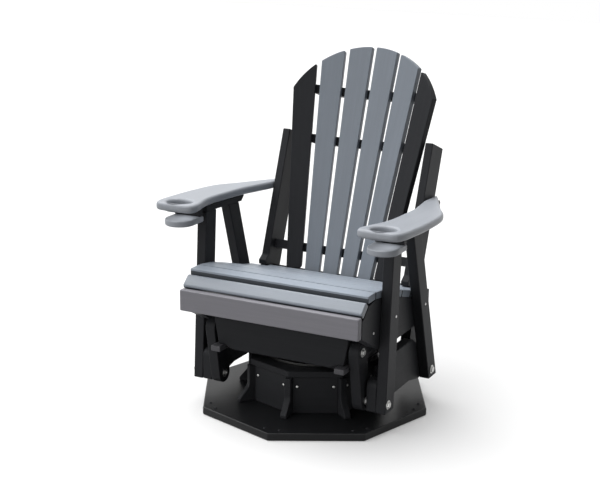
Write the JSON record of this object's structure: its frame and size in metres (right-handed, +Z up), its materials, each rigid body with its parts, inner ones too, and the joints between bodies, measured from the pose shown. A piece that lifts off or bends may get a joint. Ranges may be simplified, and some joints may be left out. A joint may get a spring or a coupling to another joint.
{
  "type": "swivel glider armchair",
  "caption": "Fan-back slatted outdoor armchair that glides on hanging links and swivels on an octagonal pedestal base, with cup holes in both arms.",
  "frame": {"origin": "on the floor, under the swivel axis, at the middle of the base plate's underside", "axes": "+Z up along the swivel axis; the sitter faces -Y with the chair at rest; +X is to the right seen from the front"},
  "size_m": [0.808, 0.7878, 1.0566],
  "materials": {
    "black_board": "fine grained satin",
    "grey_slat": "fine grained satin",
    "apron_grey": "fine grained satin",
    "pale_arm": "fine grained satin",
    "steel": "satin"
  },
  "bodies": {
    "base": {"base_plate": "black_board", "pedestal_drum": "black_board", "pedestal_top": "black_board", "bearing_outer_ring": "steel", "ball_cage": "steel"},
    "swivel_frame": {"bearing_inner_ring": "steel", "swivel_board": "black_board", "bearer_left": "apron_grey", "bearer_right": "apron_grey", "swivel_side_left": "black_board", "swivel_side_right": "black_board", "swivel_rail_front": "black_board", "swivel_rail_rear": "black_board", "upper_bolt_front_left": "steel", "upper_bolt_front_right": "steel", "upper_bolt_rear_left": "steel", "upper_bolt_rear_right": "steel"},
    "link_front_left": {"link_front_left": "black_board"},
    "link_front_right": {"link_front_right": "black_board"},
    "link_rear_left": {"link_rear_left": "black_board"},
    "link_rear_right": {"link_rear_right": "black_board"},
    "chair": {"apron": "apron_grey", "arm_left": "pale_arm", "arm_rail_left": "black_board", "arm_rail_right": "black_board", "arm_right": "pale_arm", "back_batten_lower": "black_board", "back_batten_middle": "black_board", "back_batten_upper": "black_board", "back_foot_rail": "black_board", "back_slat_1": "black_board", "back_slat_2": "grey_slat", "back_slat_3": "grey_slat", "back_slat_4": "grey_slat", "back_slat_5": "grey_slat", "back_slat_6": "black_board", "back_upright_left": "black_board", "back_upright_right": "black_board", "cup_holder_left": "pale_arm", "cup_holder_right": "pale_arm", "front_post_left": "black_board", "front_post_right": "black_board", "lower_bolt_front_left": "steel", "lower_bolt_front_right": "steel", "lower_bolt_rear_left": "steel", "lower_bolt_rear_right": "steel", "lower_rail_left": "black_board", "lower_rail_right": "black_board", "rear_leg_left": "black_board", "rear_leg_right": "black_board", "seat_rail_left": "black_board", "seat_rail_right": "black_board", "seat_slat_1": "grey_slat", "seat_slat_2": "grey_slat", "seat_slat_3": "grey_slat", "seat_slat_4": "grey_slat", "seat_slat_5": "grey_slat", "seat_slat_6": "grey_slat", "seat_slat_7": "grey_slat", "seat_slat_8": "grey_slat"}
  },
  "joints": [
    {"name": "swivel", "type": "hinge", "parent": "base", "child": "swivel_frame", "pos_m": [0, 0, 0.17], "axis": [0, 0, 1], "continuous": true},
    {"name": "glide", "type": "hinge", "parent": "swivel_frame", "child": "link_front_left", "pos_m": [-0.2395, -0.199, 0.25699], "axis": [1, 0, 0], "range_deg": [-12, 12]},
    {"name": "chair_tilt", "type": "hinge", "parent": "link_front_left", "child": "chair", "pos_m": [-0.2395, -0.168, 0.099], "axis": [1, 0, 0], "range_deg": [-15, 15]},
    {"name": "link_front_right_swing", "type": "hinge", "parent": "swivel_frame", "child": "link_front_right", "pos_m": [0.2395, -0.199, 0.25699], "axis": [1, 0, 0], "range_deg": [-12, 12]},
    {"name": "link_rear_left_swing", "type": "hinge", "parent": "swivel_frame", "child": "link_rear_left", "pos_m": [-0.2395, 0.199, 0.25699], "axis": [1, 0, 0], "range_deg": [-12, 12]},
    {"name": "link_rear_right_swing", "type": "hinge", "parent": "swivel_frame", "child": "link_rear_right", "pos_m": [0.2395, 0.199, 0.25699], "axis": [1, 0, 0], "range_deg": [-12, 12]}
  ],
  "couplings": [
    {"joint": "chair_tilt", "follows": "glide", "ratio": -1.1845},
    {"joint": "link_front_right_swing", "follows": "glide", "ratio": 1},
    {"joint": "link_rear_left_swing", "follows": "glide", "ratio": 1},
    {"joint": "link_rear_right_swing", "follows": "glide", "ratio": 1}
  ]
}
